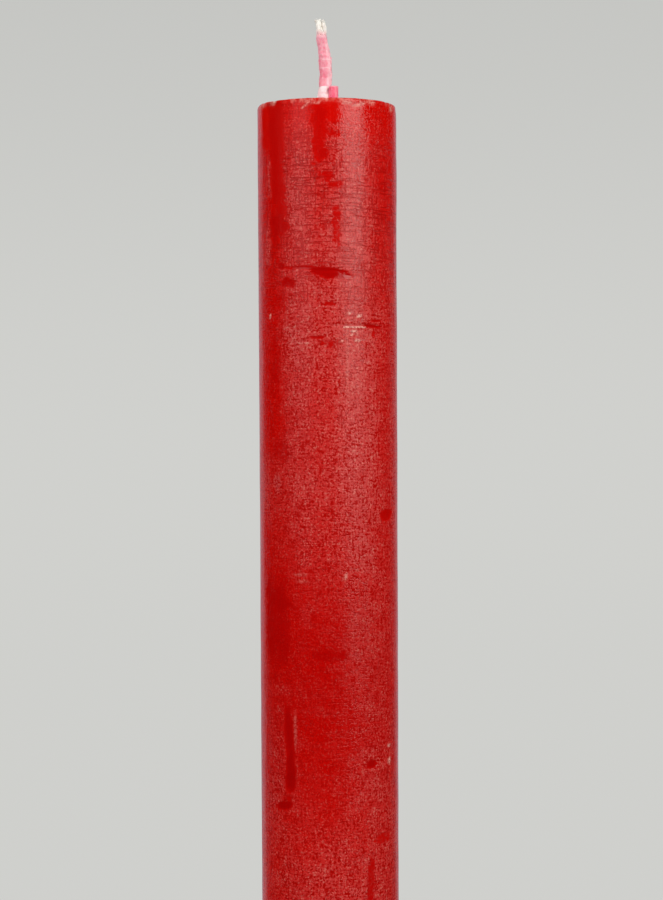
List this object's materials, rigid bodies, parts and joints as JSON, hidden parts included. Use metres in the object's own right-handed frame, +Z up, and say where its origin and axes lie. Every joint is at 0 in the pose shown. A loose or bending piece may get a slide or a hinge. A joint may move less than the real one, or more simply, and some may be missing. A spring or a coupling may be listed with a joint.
{
  "type": "pillar candle",
  "caption": "Slim round pillar candle with a frosted, scuffed red wax skin over a pale core, and a waxed braided wick.",
  "frame": {"origin": "centre of the flat foot the candle stands on", "axes": "+Z up along the candle's axis to the wick's tip, +X to the right and -Y towards the viewer of the scuffed front side"},
  "size_m": [0.0254, 0.0254, 0.2665],
  "materials": {
    "red_wax": "dyed red wax, glossy where rubbed and frosted with pale bloom, speckled and scuffed",
    "pale_wax": "undyed cast wax, satin, faintly mottled",
    "pink_wax": "thin pink wax soaked into braid, satin",
    "root_wax": "whitish pink congealed wax, satin",
    "stub_wax": "saturated pink wax, satin",
    "wick_cotton": "bare bleached cotton yarn, matte and fibrous"
  },
  "bodies": {
    "root": {"wax_core": "pale_wax", "overdip_shell": "red_wax", "wick_strand_a": "wick_cotton", "wick_strand_b": "wick_cotton", "wick_strand_c": "wick_cotton", "wick_wax_coat": "pink_wax", "wick_root_bead": "root_wax", "wax_stub": "stub_wax"}
  },
  "joints": []
}
